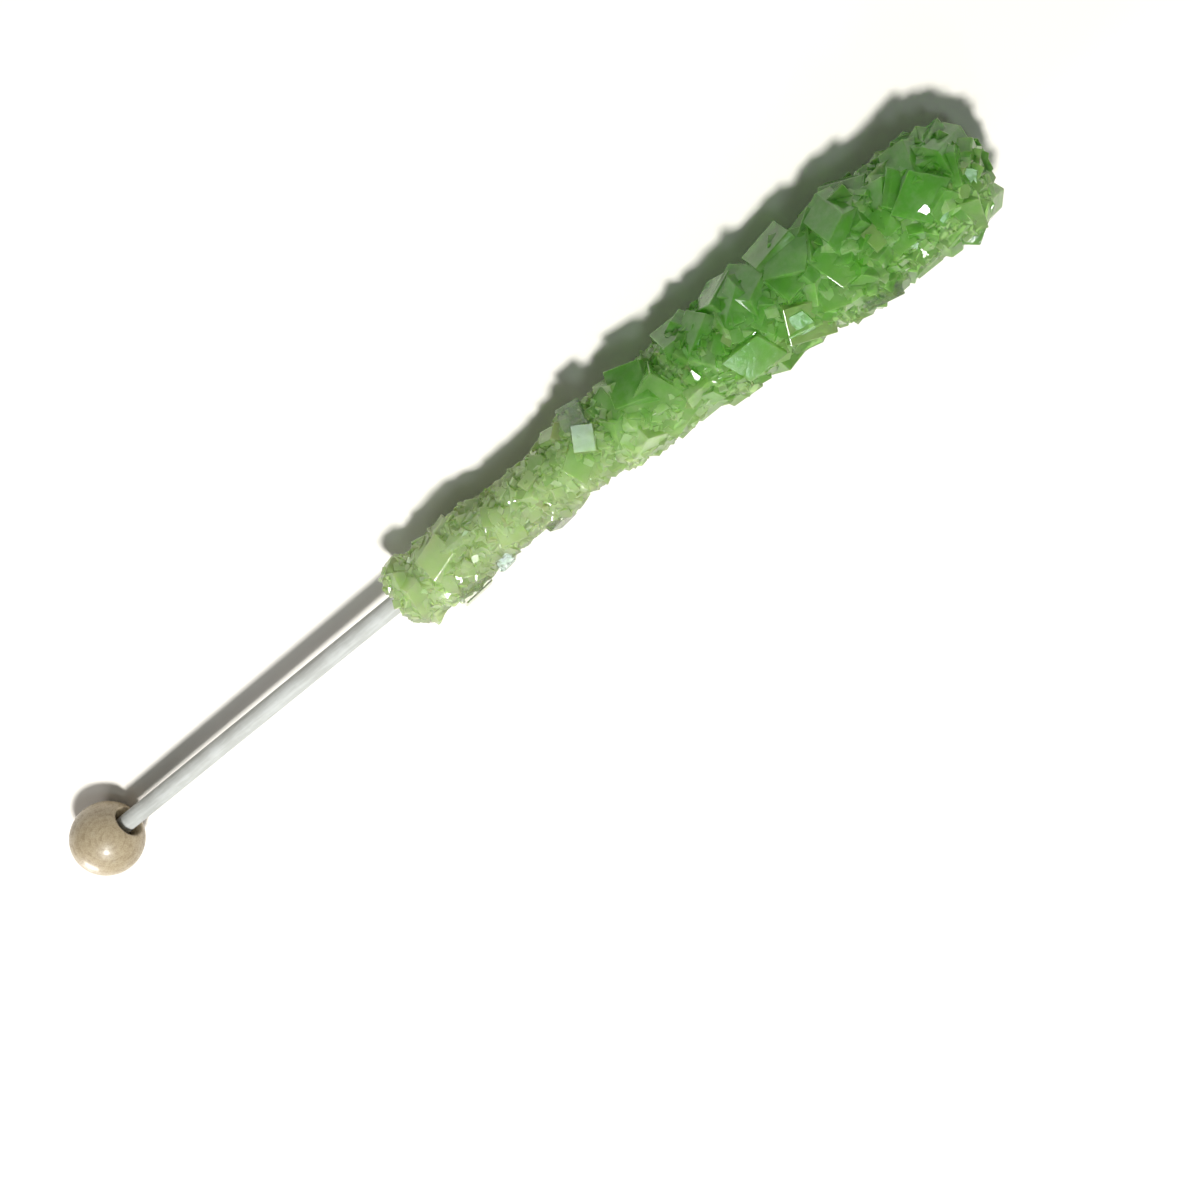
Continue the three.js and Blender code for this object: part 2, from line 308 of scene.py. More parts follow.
def make_ball_mesh():
    bm = bmesh.new()
    bmesh.ops.create_uvsphere(bm, u_segments=72, v_segments=48, radius=ball_radius)
    everything = bm.verts[:] + bm.edges[:] + bm.faces[:]
    bmesh.ops.bisect_plane(bm, geom=everything, plane_co=(0, 0, mouth_height), plane_no=(0, 0, 1),
                           clear_outer=True)
    rim = [edge for edge in bm.edges if edge.is_boundary]
    ring = rim
    for radius, depth in flare:
        ring = draw_in(bm, ring, radius, mouth_height - depth)
    bmesh.ops.holes_fill(bm, edges=ring, sides=0)
    bmesh.ops.bevel(bm, geom=rim, offset=rim_round, affect="EDGES", segments=3, profile=0.5, material=-1)
    bmesh.ops.transform(bm, matrix=along_axis, verts=bm.verts)
    down = Matrix.Rotation(axis_tilt, 4, "Y") @ Vector((0, 0, -1))
    everything = bm.verts[:] + bm.edges[:] + bm.faces[:]
    bmesh.ops.bisect_plane(bm, geom=everything, plane_co=down * (ball_centre.z / mm), plane_no=down,
                           clear_outer=True)
    flat = [edge for edge in bm.edges if edge.is_boundary]
    bmesh.ops.holes_fill(bm, edges=flat, sides=0)
    bmesh.ops.recalc_face_normals(bm, faces=bm.faces)
    return bm


# %% [markdown]
# ## Wood
# The ball is pale bare wood, sanded and slightly polished by handling. It was turned with the grain
# pointing up at the camera, so growth rings run round a pale spot near the middle of the view, and thin
# darker streaks and open pores follow the grain. A Wave texture in ring mode, centred on the ball and
# turned to that grain, gives the rings. Stretched speckle gives the pores.

# %% Wood finish
grain_direction = (lens_place - ball_centre).normalized()
wood_light = (0.42, 0.35, 0.235)
wood_middle = (0.375, 0.305, 0.20)
wood_dark = (0.30, 0.235, 0.145)
pore_brown = (0.55, 0.45, 0.34)
rings_share = 0.45
pore_strength = 0.35


def make_wood():
    material, tree, shader = new_material("turned wood")
    turn = grain_direction.to_track_quat("Z", "Y").to_euler()
    place = object_places(tree, ball_centre, turn)
    rings = add_node(tree, "ShaderNodeTexWave",
                     {"wave_type": "RINGS", "rings_direction": "Z", "wave_profile": "SAW"},
                     Vector=place, Scale=0.42, Distortion=2.4, Detail=3.0)
    rings.inputs["Detail Scale"].default_value = 0.5
    streaks, streak_height = add_marks(tree, place, 1.5, (1, 1, 0.12))
    pores, pore_height = add_marks(tree, place, 6.0, (1, 1, 0.1))
    mixed = math_node(tree, "ADD", math_node(tree, "MULTIPLY", rings.outputs["Fac"], rings_share),
                      math_node(tree, "MULTIPLY", streaks, 1 - rings_share))
    colour = ramp_node(tree, mixed, [(0.05, wood_dark), (0.4, wood_middle), (0.95, wood_light)])
    pored = add_node(tree, "ShaderNodeMix", {"data_type": "RGBA", "blend_type": "MULTIPLY"})
    pored.inputs["Factor"].default_value = pore_strength
    tree.links.new(colour, pored.inputs["A"])
    tree.links.new(ramp_node(tree, pores, [(0.0, pore_brown), (0.5, (1, 1, 1))]), pored.inputs["B"])
    tree.links.new(pored.outputs["Result"], shader.inputs["Base Color"])
    rough = ramp_node(tree, mixed, [(0.0, (0.5,) * 3), (1.0, (0.33,) * 3)])
    tree.links.new(rough, shader.inputs["Roughness"])
    shader.inputs["Coat Weight"].default_value = 0.25
    shader.inputs["Coat Roughness"].default_value = 0.22
    height = math_node(tree, "ADD", math_node(tree, "MULTIPLY", rings.outputs["Fac"], 0.4),
                       math_node(tree, "ADD", streak_height, pore_height))
    add_bump(tree, shader, height, 0.35, 0.04 * mm)
    return material


ball = make_piece("ball_turned", make_ball_mesh(), [make_wood()], "wood", 40)

# %% [markdown]
# ## The paper stick
# The stick is white paper rolled tight into a rod. A cylinder would do from afar, but a rolled sheet
# leaves a thin step where its last edge ends. A circle is opened into a spiral one paper thick, drawn
# out along the stick, and closed at both ends, so that the step is real.

# %% Stick mesh
stick_sides = 72
paper_thickness = 0.05
paper_edge_turn = math.radians(215)
end_round = 0.12
end_gap = 0.3
hidden_end = 9
candy_length = 88
candy_start = (cad_high.x / mm - candy_length - ball_centre.x / mm) / math.cos(axis_tilt)
stick_start = mouth_height - bore_depth + end_gap
stick_end = candy_start + candy_length - hidden_end


def make_stick_mesh():
    bm = bmesh.new()
    bmesh.ops.create_circle(bm, segments=stick_sides, radius=stick_radius, cap_ends=True)
    for vertex in bm.verts:
        turn = (math.atan2(vertex.co.y, vertex.co.x) - paper_edge_turn) % (2 * math.pi)
        vertex.co *= 1 - paper_thickness / stick_radius * turn / (2 * math.pi)
    drawn = bmesh.ops.extrude_face_region(bm, geom=bm.faces[:])["geom"]
    top = [item for item in drawn if isinstance(item, bmesh.types.BMVert)]
    bmesh.ops.translate(bm, verts=bm.verts, vec=(0, 0, stick_start))
    bmesh.ops.translate(bm, verts=top, vec=(0, 0, stick_end - stick_start))
    ends = [edge for edge in bm.edges if abs(edge.verts[0].co.z - edge.verts[1].co.z) < 1e-6]
    bmesh.ops.bevel(bm, geom=ends, offset=end_round, affect="EDGES", segments=3, profile=0.5, material=-1)
    bmesh.ops.transform(bm, matrix=along_axis, verts=bm.verts)
    bmesh.ops.recalc_face_normals(bm, faces=bm.faces)
    return bm


# %% [markdown]
# ## Paper
# Rolled paper is matt and not quite white, with fibres pressed lengthwise and faint grey bands where
# the roll is tighter. Long stretched speckle gives the fibres in both colour and relief.

# %% Paper finish
paper_white = (0.45, 0.46, 0.445)
paper_grey = (0.38, 0.385, 0.365)
fibre_share = 0.55
paper_scatter = (0.6, 0.6, 0.5)


def make_paper():
    material, tree, shader = new_material("rolled paper")
    place = object_places(tree, ball_centre, (0, -axis_tilt, 0))
    fibres, fibre_height = add_marks(tree, place, 2.4, (0.12, 1, 1))
    bands, _ = add_marks(tree, place, 0.25, (1, 0.3, 0.3))
    mixed = math_node(tree, "ADD", math_node(tree, "MULTIPLY", fibres, fibre_share),
                      math_node(tree, "MULTIPLY", bands, 1 - fibre_share))
    colour = ramp_node(tree, mixed, [(0.1, paper_grey), (0.75, paper_white)])
    tree.links.new(colour, shader.inputs["Base Color"])
    rough = ramp_node(tree, fibres, [(0.0, (0.78,) * 3), (1.0, (0.62,) * 3)])
    tree.links.new(rough, shader.inputs["Roughness"])
    shader.inputs["Subsurface Weight"].default_value = 0.15
    shader.inputs["Subsurface Radius"].default_value = [reach * mm for reach in paper_scatter]
    shader.inputs["Subsurface Scale"].default_value = 1.0
    add_bump(tree, shader, fibre_height, 0.3, 0.03 * mm)
    return material


stick = make_piece("stick_rolled", make_stick_mesh(), [make_paper()], "paper", 30)

# %% [markdown]
# ## How far the candy reaches
# The candy is uneven: it is thin near the ball and swells to the tip, and it reaches further on one
# side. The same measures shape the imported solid, so the crystals here grow from the same surface and
# keep its outline. Each station gives a distance along the candy and the reach on its two long sides.

# %% Candy measures
reach_stations = [
    (0, 2.4, 2.4), (0.8, 4.7, 4.5), (3.5, 4.0, 4.5), (6.5, 4.7, 5.6), (9.5, 4.9, 5.6), (13.5, 5.0, 4.9),
    (17, 4.2, 4.9), (21, 4.3, 4.7), (25, 4.1, 5.6), (28, 4.4, 5.2), (31, 5.7, 4.9), (35, 5.5, 5.8),
    (40, 5.0, 6.4), (44, 5.1, 6.3), (47, 5.6, 6.1), (50, 5.8, 7.3), (53, 5.2, 7.6), (56, 5.8, 7.1),
    (60, 5.4, 7.6), (64, 5.7, 8.1), (67, 5.6, 9.0), (70, 6.2, 9.1), (74, 5.6, 8.9), (78, 5.7, 9.3),
    (82, 5.4, 9.3), (84.5, 4.4, 8.7), (86.5, 2.6, 6.8), (88, 0.2, 2.8),
]


def girth_at(along):
    """The candy's own middle line, radius and slope at a distance along it."""
    i = 1
    while i < len(reach_stations) - 1 and reach_stations[i][0] < along:
        i += 1
    here, plus, minus = reach_stations[i - 1]
    there, next_plus, next_minus = reach_stations[i]
    share = min(max((along - here) / (there - here), 0), 1)
    slope = (next_plus + next_minus - plus - minus) / 2 / (there - here)
    plus += (next_plus - plus) * share
    minus += (next_minus - minus) * share
    return (plus - minus) / 2, (plus + minus) / 2, slope


def surface_at(along, angle):
    """Point and outward direction on the candy's general surface; angle 0 is up and a quarter turn is +Y."""
    middle, radius, slope = girth_at(along)
    around = Vector((0, math.sin(angle), math.cos(angle)))
    point = Vector((candy_start + along, middle, 0)) + around * radius
    outward = (around + Vector((-slope, 0, 0))).normalized()
    return point, outward


print("candy starts", round(candy_start, 1), "mm from the ball's centre")

# %% [markdown]
# ## One crystal
# A sugar crystal is a leaning block with slanted ends, and some have two opposite edges cut off. A cube
# is the quickest start: a bevel of two edges gives the cut ones, and one matrix leans and stretches it.
# All its numbers come from a fixed run, so the same crystals grow each time. On a large crystal a
# hair-thin bevel catches the light along every edge, as a real crystal's slightly dissolved edges do.
# Each crystal keeps two numbers on its faces for the finish: its tint, and whether it is milky or clear.

# %% Crystal rule
crystal_lean = math.tan(math.radians(13))
crystal_size_near = 2.7
crystal_size_far = 4.9
plain_share = 0.7
cut_sizes = (0.15, 0.4)
flatnesses = (0.6, 0.95)
slants = (-0.3, 0.3)
block_tilt = math.radians(15)
golden_angle = math.pi * (3 - math.sqrt(5))
first_on_spiral = 0.3
milky_until = 14
milk_fades_over = 40
milky_share_near = 0.9
milky_share_lost = 0.75
# Extra milky crystals on the -Y side: partly milkier sugar, partly painted light, since these paler crystals
# go on the lit side.
milky_and_painted_lit_side = 0.2


def numbers_from(seed):
    """An endless fixed run of numbers from 0 up to 1."""
    state = seed
    while True:
        state = (state * 1664525 + 1013904223) % 2 ** 32
        yield state / 2 ** 32


def between(numbers, low, high):
    return low + (high - low) * next(numbers)


def any_turn(numbers, angle):
    """A turn picked evenly among all turns; the angle round the axis makes no difference to it."""
    u = next(numbers)
    v = next(numbers) * 2 * math.pi
    w = next(numbers) * 2 * math.pi
    a, b = math.sqrt(1 - u), math.sqrt(u)
    return Quaternion((b * math.cos(w), a * math.sin(v), a * math.cos(v), b * math.sin(w)))


def laying_turn(numbers, angle):
    """A turn that lays a block's broad side outwards at an angle round the axis, a little askew."""
    turn = Quaternion((1, 0, 0), between(numbers, -block_tilt, block_tilt) - angle)
    turn = turn @ Quaternion((0, 1, 0), between(numbers, -block_tilt, block_tilt))
    return turn @ Quaternion((0, 0, 1), between(numbers, 0, math.pi))


def crystal_size_at(along):
    share = min(max(along / candy_length, 0), 1)
    return crystal_size_near + (crystal_size_far - crystal_size_near) * share * share * (3 - 2 * share)


def grow_crystal(crystals, numbers, pick_turn, along, angle, size, stretch, height, edge, tint, milk):
    """Grows one crystal in a collection, its outermost corner at a height over the candy's surface."""
    cut = 0 if next(numbers) < plain_share else between(numbers, *cut_sizes)
    flatness = between(numbers, *flatnesses)
    slant = between(numbers, *slants)
    turn = pick_turn(numbers, angle)
    block = bmesh.new()
    bmesh.ops.create_cube(block, size=1)
    if cut:
        opposite = [line for line in block.edges if all(v.co.x * v.co.z > 0 for v in line.verts)]
        bmesh.ops.bevel(block, geom=opposite, offset=cut, affect="EDGES", segments=1, profile=0.5,
                        material=-1)
    shape = Matrix(((size, 0, size * flatness * crystal_lean),
                    (size * slant, size * stretch, 0),
                    (0, 0, size * flatness))).to_4x4()
    bmesh.ops.transform(block, matrix=turn.to_matrix().to_4x4() @ shape, verts=block.verts)
    point, outward = surface_at(along, angle)
    centre = point + outward * (height - max(v.co.dot(outward) for v in block.verts))
    first = centre.x + min(v.co.x for v in block.verts)
    last = centre.x + max(v.co.x for v in block.verts)
    centre.x += max(0, candy_start - first) - max(0, last - candy_start - candy_length)
    bmesh.ops.translate(block, verts=block.verts, vec=centre)
    if edge:
        bmesh.ops.bevel(block, geom=block.edges[:], offset=edge, affect="EDGES", segments=1, profile=0.5,
                        material=-1)
    keep_in_collection(block, crystals, tint, milk)


def keep_in_collection(bm, collection, tint, milk):
    """Makes a bmesh a loose object in a collection, with its two numbers on every face."""
    tints = bm.faces.layers.float.new("tint")
    milks = bm.faces.layers.float.new("milk")
    for face in bm.faces:
        face[tints] = tint
        face[milks] = milk
    mesh = bpy.data.meshes.new(collection.name)
    bm.to_mesh(mesh)
    bm.free()
    loose = bpy.data.objects.new(collection.name, mesh)
    collection.objects.link(loose)
    return loose


def milk_at(numbers, along, angle):
    """1 for a milky crystal, 0 for a clear one: most are milky near the ball, and more are milky on the -Y
    side, which is milkier sugar there and also a painted lit side, as milky crystals are paler.
    """
    far = min(max((along - milky_until) / milk_fades_over, 0), 1)
    # The -Y side, where the key light falls, gets more of the paler milky crystals: partly painted light.
    share = milky_share_near - milky_share_lost * far - milky_and_painted_lit_side * math.sin(angle)
    return 1 if next(numbers) < share else 0


print("crystals grow from", crystal_size_near, "mm near the ball to", crystal_size_far, "mm at the tip")

# %% [markdown]
# ## Growing together
# On the real stick the crystals have grown into each other, so light meets sugar once on its way in and
# once on its way out. Overlapping meshes would give it dozens of hidden walls, which makes clear sugar
# look grey and chipped. A Boolean modifier can join a whole collection in one go, and its Manifold
# solver does thousands of blocks in seconds. The result is made a plain mesh and the blocks are deleted.


# %% Growing together
slab_size = Vector((200, 60, 20))
slab_middle = 60


def new_collection(name):
    collection = bpy.data.collections.new(name)
    bpy.context.scene.collection.children.link(collection)
    return collection


def combine(base, others, operation):
    """Joins a collection to an object, or takes it away from it, and deletes the collection."""
    boolean = base.modifiers.new("grow together", "BOOLEAN")
    boolean.operation = operation
    boolean.solver = "MANIFOLD"
    boolean.operand_type = "COLLECTION"
    boolean.collection = others
    solved = base.evaluated_get(bpy.context.evaluated_depsgraph_get())
    mesh = bpy.data.meshes.new_from_object(solved)
    base.modifiers.clear()
    base.data = mesh
    for loose in list(others.objects):
        bpy.data.objects.remove(loose)
    bpy.data.collections.remove(others)


def everything_below_table():
    """A deep slab in the axis frame whose top is the table's surface."""
    slab = bmesh.new()
    bmesh.ops.create_cube(slab, size=1)
    bmesh.ops.scale(slab, verts=slab.verts, vec=slab_size)
    bmesh.ops.translate(slab, verts=slab.verts, vec=(slab_middle, 0, -slab_size.z / 2 - ball_centre.z / mm))
    bmesh.ops.transform(slab, matrix=Matrix.Rotation(axis_tilt, 4, "Y"), verts=slab.verts)
    return slab


# %% [markdown]
# ## Green sugar
# Each crystal is clear green sugar with flaws inside, and light scatters back out of the pack of them.
# Plain glass would go dark in the depth, and plain plastic would look like painted stone. So about three
# quarters of the light passes through and the rest scatters under the surface, a millimetre or two deep.
# The green deepens from the fine pale end by the ball to the coarse end at the tip. It is painted a
# little lighter on the -Y side, where the key light falls, and darker on the +Y side: painted light and
# shade. A crystal's own tint makes neighbours differ, and the highest tints go straw.
# Milky crystals scatter more, are rougher and hold more flaws than clear ones.

# %% Sugar finishes
near_x = candy_start * mm + ball_centre.x
pale_until = 12
deep_from = 62
tint_spread = 0.45
# Painted light and shade: the lit -Y side is made paler and the +Y side a deeper green, by this much, over
# this many mm from the middle.
painted_side_shade = 0.32
painted_shade_reach = 7
milk_white = (0.74, 0.82, 0.60)
straw = (0.60, 0.56, 0.34)
straw_from = 0.9
straw_share = 0.55
flaws_per_mm = 0.55
growth_steps_per_mm = 1.6
growth_relief = 0.05 * mm
growth_strength = 0.25
flaw_roughens = 2.4
sugar_ior = 1.54
sugar_gloss = 0.3
sugar_scatter = (1.6, 2.0, 1.0)


def green_depth_and_painted_shade(tree, place, tint):
    """How deep the green is: more towards the tip, deeper on the +Y side as painted shade and paler on the
    lit -Y side as painted light, and uneven from crystal to crystal.
    """
    split = add_node(tree, "ShaderNodeSeparateXYZ", Vector=place)
    along = add_node(tree, "ShaderNodeMapRange", {"interpolation_type": "SMOOTHSTEP"},
                     Value=split.outputs["X"], From_Min=pale_until, From_Max=deep_from)
    # Painted light and shade: the +Y side is made a deeper green and the -Y side, where the key light falls,
    # paler.
    side = add_node(tree, "ShaderNodeMapRange", Value=split.outputs["Y"], From_Min=-painted_shade_reach,
                    From_Max=painted_shade_reach, To_Min=-painted_side_shade, To_Max=painted_side_shade)
    own = math_node(tree, "MULTIPLY", math_node(tree, "SUBTRACT", tint, 0.5), tint_spread)
    # The painted side shade added to each crystal's own tint.
    uneven = math_node(tree, "ADD", side.outputs["Result"], own)
    return math_node(tree, "ADD", along.outputs["Result"], uneven)


def mix_colours(tree, share, first, second):
    mix = add_node(tree, "ShaderNodeMix", {"data_type": "RGBA"})
    tree.links.new(share, mix.inputs["Factor"])
    tree.links.new(first, mix.inputs["A"])
    mix.inputs["B"].default_value = (*second, 1)
    return mix.outputs["Result"]


def make_sugar(name, near, far, clearness, flaw_share, roughness):
    material, tree, shader = new_material(name)
    place = object_places(tree, (near_x, ball_centre.y, 0))
    tint = add_node(tree, "ShaderNodeAttribute", {"attribute_name": "tint"}).outputs["Fac"]
    green = ramp_node(tree, green_depth_and_painted_shade(tree, place, tint), [(0.0, near), (1.0, far)])
    flaws, flaw_height = add_marks(tree, place, flaws_per_mm)
    milky = mix_colours(tree, math_node(tree, "MULTIPLY", flaws, flaw_share), green, milk_white)
    strawy = add_node(tree, "ShaderNodeMapRange", Value=tint, From_Min=straw_from, From_Max=1.0,
                      To_Max=straw_share)
    colour = mix_colours(tree, strawy.outputs["Result"], milky, straw)
    tree.links.new(colour, shader.inputs["Base Color"])
    rough = ramp_node(tree, flaws, [(0.0, (roughness,) * 3), (1.0, (roughness * flaw_roughens,) * 3)])
    tree.links.new(rough, shader.inputs["Roughness"])
    shader.inputs["Transmission Weight"].default_value = clearness
    shader.inputs["IOR"].default_value = sugar_ior
    shader.inputs["Subsurface Weight"].default_value = 1.0
    shader.inputs["Subsurface Radius"].default_value = [reach * mm for reach in sugar_scatter]
    shader.inputs["Subsurface Scale"].default_value = 1.0
    shader.inputs["Specular IOR Level"].default_value = sugar_gloss
    _, step_height = add_marks(tree, place, growth_steps_per_mm, (0.4, 1, 1))
    relief = math_node(tree, "ADD", step_height, flaw_height)
    add_bump(tree, shader, relief, growth_strength, growth_relief)
    return material


clear_green = make_sugar("clear green sugar", (0.60, 0.78, 0.36), (0.16, 0.48, 0.065), 0.74, 0.2, 0.04)
milky_green = make_sugar("milky green sugar", (0.62, 0.78, 0.41), (0.28, 0.60, 0.135), 0.68, 0.4, 0.10)
colourless = make_sugar("colourless sugar", (0.90, 0.93, 0.86), (0.90, 0.93, 0.86), 0.95, 0.1, 0.03)
core_sugar = make_sugar("sugar body", (0.58, 0.70, 0.36), (0.22, 0.50, 0.10), 0.0, 0.5, 0.3)
print("sugar refracts by", sugar_ior, "and scatters green light", sugar_scatter[1], "mm deep")

# %% [markdown]
# ## The body of the candy
# Under the crystals is a solid mass of sugar grown together on the stick. It only shows as depth behind
# them, but without it one would see through to the stick. A half outline is spun round the axis, and
# each point is then pushed in or out a little by smooth noise.

# %% Body mesh
body_rings = 60
body_steps = 40
skin_cover = 0.35
core_cover = 0.62
body_unevenness = 0.35
bumps_per_mm = 0.45
stick_clearance = 0.04
body_first = 0.9
body_last = candy_length - 2.4
body_tip = candy_length - 1.6
least_wall = 0.5
round_bore = 0.3


def make_body_mesh(cover, bore):
    bm = bmesh.new()
    bore_end = stick_end + stick_clearance - candy_start
    outline = [(bore_end, 0), (bore_end, bore), (body_first, bore)]
    for i in range(body_rings + 1):
        along = body_first + (body_last - body_first) * i / body_rings
        _, radius, _ = girth_at(along)
        outline.append((along, max(radius - cover * crystal_size_at(along), bore + least_wall)))
    outline.append((body_tip, 0))
    points = [bm.verts.new((candy_start + along, 0, radius)) for along, radius in outline]
    edges = [bm.edges.new(pair) for pair in zip(points, points[1:])]
    bmesh.ops.spin(bm, geom=points + edges, axis=(1, 0, 0), cent=(0, 0, 0), angle=2 * math.pi,
                   steps=body_steps, use_merge=True)
    bmesh.ops.remove_doubles(bm, verts=bm.verts, dist=1e-4)
    for vertex in bm.verts:
        reach = vertex.co.yz.length
        if reach > bore + round_bore:
            free = min(1, (reach - bore) / 2)
            push = 1 + body_unevenness * noise.noise(vertex.co * bumps_per_mm) * free
            middle, _, _ = girth_at(vertex.co.x - candy_start)
            vertex.co.y = vertex.co.y * push + middle * free
            vertex.co.z *= push
    bmesh.ops.recalc_face_normals(bm, faces=bm.faces)
    return bm


# %% [markdown]
# ## The large crystals
# They cover the whole candy along a spiral whose turns keep an even distance, which is how seeds sit on
# a sunflower: no rows show, and no bare patches. Those that stand out in the photograph have places of
# their own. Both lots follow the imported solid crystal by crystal.

# %% Large crystals
crystal_edge = 0.09
large_sizes = (0.75, 1.25)
large_stretches = (0.9, 1.5)
large_heights = (-0.16, 0.04)
standout_seed = 19
clear_seed = 29
covering_seed = 20417
tint_seed = 90
standout_crystals = [
    (0.9, 84, 1.8, 1.5, 0.4), (1.8, -84, 3.6, 1.0, 0.3), (9, 34, 3.6, 1.2, 0.2), (11, 82, 2.8, 1.1, 0.3),
    (33.5, 28, 2.8, 1.2, 0.4), (38.8, -38, 4.4, 1.2, 0.1), (39.5, 88, 4.4, 1.0, 0.2),
    (41.8, 58, 4.8, 1.1, 0.2),
    (43, 8, 6.0, 1.2, 0.1), (47.2, -30, 4.8, 1.1, 0.2), (48, 86, 4.6, 1.1, 0.1), (49.5, -94, 4.6, 1.2, 0),
    (51, 62, 5.0, 1.1, 0.1), (55.2, -16, 4.4, 1.2, 0.1), (55.5, 86, 4.4, 1.1, 0), (56.8, 34, 6.0, 1.1, 0.2),
    (57, -88, 4.6, 1.2, 0), (58.5, 64, 4.6, 1.3, 0.1), (62, -24, 5.0, 1.1, 0.1), (63.5, 84, 4.6, 1.2, 0.1),
    (65, 58, 5.2, 1.1, 0.1), (71.5, 62, 5.2, 1.2, 0.3), (72, 86, 4.6, 1.1, 0.1), (80.2, 58, 5.2, 1.1, -0.3),
    (80.2, 20, 4.6, 1.1, 0.2), (83, -34, 5.0, 1.1, 0.1), (83.5, 84, 4.8, 1.1, -0.6), (85.5, 34, 4.8, 1.0, 0),
    (84, -72, 5.2, 1.0, 0.1),
]
colourless_crystals = [
    (8.6, -60, 3.6, 1.2, 0.6), (14.5, -66, 2.4, 1.2, 0.5), (22.8, -68, 2.6, 1.1, 0.6),
    (33.5, 68, 3.2, 1.1, 0.5), (70.3, -58, 3.8, 1.2, 0.5),
]


def grow_standouts(crystals, places, seed):
    """Grows crystals at places of their own: along, degrees round, size, length over width, height."""
    numbers = numbers_from(seed)
    tints = numbers_from(seed + tint_seed)
    for along, degrees, size, stretch, height in places:
        angle = math.radians(degrees)
        grow_crystal(crystals, numbers, laying_turn, along, angle, size, stretch, height,
                     crystal_edge, next(tints), milk_at(tints, along, angle))


def grow_covering(crystals):
    """Covers the candy with crystals along a spiral whose turns stay one crystal apart."""
    numbers, tints = numbers_from(covering_seed), numbers_from(covering_seed + tint_seed)
    along, turns = first_on_spiral, 0
    while along < candy_length:
        _, radius, slope = girth_at(along)
        usual = crystal_size_at(along)
        size = usual * between(numbers, *large_sizes)
        stretch = between(numbers, *large_stretches)
        height = between(numbers, *large_heights) * size
        angle = golden_angle * turns
        grow_crystal(crystals, numbers, any_turn, along, angle, size, stretch, height,
                     crystal_edge, next(tints), milk_at(tints, along, angle))
        along += usual ** 2 / (2 * math.pi * max(radius, usual)) / math.hypot(1, slope)
        turns += 1


green = new_collection("green crystals")
clear = new_collection("clear crystals")
grow_standouts(green, standout_crystals, standout_seed)
grow_standouts(clear, colourless_crystals, clear_seed)
grow_covering(green)

# %% [markdown]
# ## The fine crystals between them
# Three grades of smaller crystals fill the gaps and crowd the thin end, where the candy looks like coarse
# frost. They follow the same rule at a smaller size and sit lower, so that the large ones keep the
# outline. On the +Y side, where large blocks show in the photograph, the two coarser grades sink deeper.
# A grade's row gives its seed, sizes, spacing, heights by the ball and at the tip, and how far it sinks.


# %% Fine crystals
fine_stretches = (0.9, 1.7)
fine_grades = [
    (300, (1.7, 3.1), 1.9, (-1.2, -0.3), (-1.2, 0.1), 1.2),
    (301, (1.1, 1.9), 1.15, (-0.8, 0.1), (-2.4, -0.4), 0.4),
    (302, (0.7, 1.2), 1.0, (-0.6, 0.1), (-2.6, -0.8), 0),
]


def grow_fine(crystals, seed, sizes, spacing, lift_near, lift_far, sink):
    """Strews crystals of a range of sizes between two heights, lower by the sink on the +Y side."""
    numbers, tints = numbers_from(seed), numbers_from(seed + tint_seed)
    along, turns = first_on_spiral, 0
    while along < candy_length:
        _, radius, slope = girth_at(along)
        share = along / candy_length
        size = between(numbers, *sizes)
        stretch = between(numbers, *fine_stretches)
        low = lift_near[0] + (lift_far[0] - lift_near[0]) * share
        high = lift_near[1] + (lift_far[1] - lift_near[1]) * share
        angle = golden_angle * turns
        height = between(numbers, low, high) - sink * max(0, math.sin(angle))
        grow_crystal(crystals, numbers, any_turn, along, angle, size, stretch,
                     height, 0, next(tints), milk_at(tints, along, angle))
        along += spacing ** 2 / (2 * math.pi * max(radius, spacing)) / math.hypot(1, slope)
        turns += 1


for grade in fine_grades:
    grow_fine(green, *grade)


# %% [markdown]
# ## The candy
# The green crystals and the body grow together into one skin, and so do the colourless ones, which have
# one finish for milky and clear. What lies under the table's surface or where the stick goes is taken
# away. A plain core stands behind the skin, so that the stick doesn't show through.

# %% Candy
def make_stick_room():
    """A rod a hair thicker than the stick, as long as the part of it inside the candy."""
    rod = bmesh.new()
    room = stick_radius + stick_clearance
    first, last = candy_start - 2, stick_end + stick_clearance
    bmesh.ops.create_cone(rod, cap_ends=True, segments=48, radius1=room, radius2=room, depth=last - first)
    lying = Matrix.Translation(((first + last) / 2, 0, 0)) @ along_axis
    bmesh.ops.transform(rod, matrix=lying, verts=rod.verts)
    return rod


def grow_together(base, crystals):
    """One closed skin round a base object and a collection of crystals, cut to the table and the stick."""
    combine(base, crystals, "UNION")
    cutters = new_collection("cutters")
    keep_in_collection(everything_below_table(), cutters, 0.5, 0)
    keep_in_collection(make_stick_room(), cutters, 0.5, 0)
    combine(base, cutters, "DIFFERENCE")
    bm = bmesh.new()
    bm.from_mesh(base.data)
    bpy.data.objects.remove(base)
    milks = bm.faces.layers.float["milk"]
    for face in bm.faces:
        face.material_index = round(face[milks])
    return bm


def first_of(collection):
    """Takes one object out of a collection, for the others to be joined to."""
    base = collection.objects[0]
    collection.objects.unlink(base)
    bpy.context.scene.collection.objects.link(base)
    return base


body = keep_in_collection(make_body_mesh(skin_cover, stick_radius), bpy.context.scene.collection, 0.5, 1)
green_skin = grow_together(body, green)
green_crystals = make_piece("green_crystals", green_skin, [clear_green, milky_green], "sugar")
clear_skin = grow_together(first_of(clear), clear)
clear_crystals = make_piece("clear_crystals", clear_skin, [colourless, colourless], "sugar")
core_body = make_body_mesh(core_cover, stick_radius + stick_clearance)
core = make_piece("candy_core", core_body, [core_sugar], "sugar", 60)

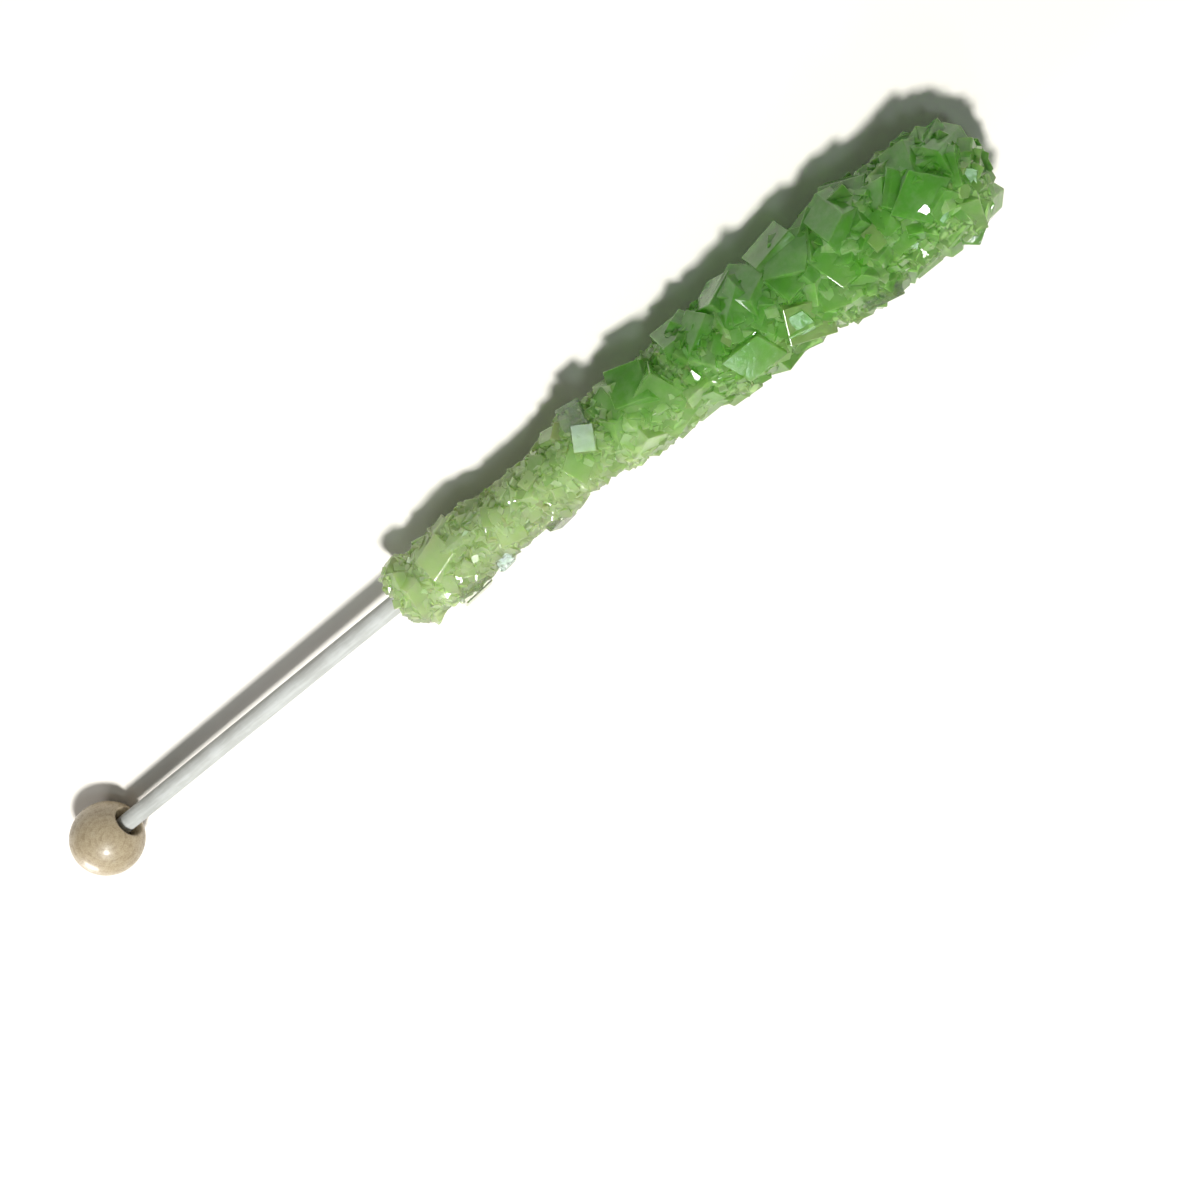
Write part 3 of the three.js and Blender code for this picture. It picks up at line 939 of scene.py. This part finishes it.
# %% [markdown]
# ## Floor and light
# In the photograph the main light stands high on the -Y side, and a few flat faces of the candy flash
# pale blue. One bright sky would flatten all this. So a small key light casts a short shadow, and a dim
# panel stands where each of a few large flat faces mirrors it to the camera. A low light from behind the
# ball gives its bright rim. The floor is plain and pale, so that the clear sugar has something to show.
# A panel's row gives its compass angle, height angle, distance and size in metres, watts, colour and aim.

# %% Floor
floor_colour = (0.75, 0.715, 0.67, 1)
floor_size = 1.5
floor_drop = 0.02 * mm


def make_floor():
    bm = bmesh.new()
    bmesh.ops.create_grid(bm, x_segments=1, y_segments=1, size=floor_size)
    bmesh.ops.translate(bm, verts=bm.verts, vec=(0, 0, -floor_drop))
    mesh = bpy.data.meshes.new("floor")
    bm.to_mesh(mesh)
    bm.free()
    material, tree, shader = new_material("pale floor")
    shader.inputs["Base Color"].default_value = floor_colour
    shader.inputs["Roughness"].default_value = 0.9
    mesh.materials.append(material)
    floor = bpy.data.objects.new("floor", mesh)
    bpy.context.scene.collection.objects.link(floor)
    return floor


floor = make_floor()
print("floor is", 2 * floor_size, "m wide")


# %% Lights
white = (1.0, 1.0, 0.98)
window_blue = (0.80, 0.97, 1.0)
table_middle = (0, 0, 0)
ball_end = (-0.07, 0, 0)
panels = [
    ("key", -112, 78, 0.62, (0.09, 0.09), 5.2, white, table_middle),
    ("window", -113, 43, 0.62, (0.045, 0.10), 0.16, window_blue, table_middle),
    ("skylight", -8, 75, 0.60, (0.12, 0.06), 0.30, window_blue, table_middle),
    ("pane", 90, 35, 0.60, (0.07, 0.07), 0.14, window_blue, table_middle),
    ("side", -165, 12, 0.40, (0.14, 0.10), 1.2, (1.0, 1.0, 1.0), ball_end),
]
sky_colour = (1.0, 0.96, 0.90, 1)
sky_strength = 0.12


def make_light_from(name, azimuth, height, distance, size, watts, colour, aim):
    """An area light at a compass angle from +X and a height angle in degrees, seen from where it aims."""
    turn, rise = math.radians(azimuth), math.radians(height)
    towards = Vector((math.cos(rise) * math.cos(turn), math.cos(rise) * math.sin(turn), math.sin(rise)))
    place = Vector(aim) + towards * distance
    data = bpy.data.lights.new(name, "AREA")
    data.shape = "RECTANGLE"
    data.size, data.size_y = size
    data.energy = watts
    data.color = colour
    light = bpy.data.objects.new(name, data)
    light.location = place
    light.rotation_euler = (-towards).to_track_quat("-Z", "Y").to_euler()
    bpy.context.scene.collection.objects.link(light)
    return light


for panel in panels:
    make_light_from(*panel)
print("lamps:", len(panels))

world = bpy.data.worlds.new("studio")
world.use_nodes = True
world.node_tree.nodes["Background"].inputs["Color"].default_value = sky_colour
world.node_tree.nodes["Background"].inputs["Strength"].default_value = sky_strength
bpy.context.scene.world = world
bpy.context.scene.view_settings.view_transform = "Standard"
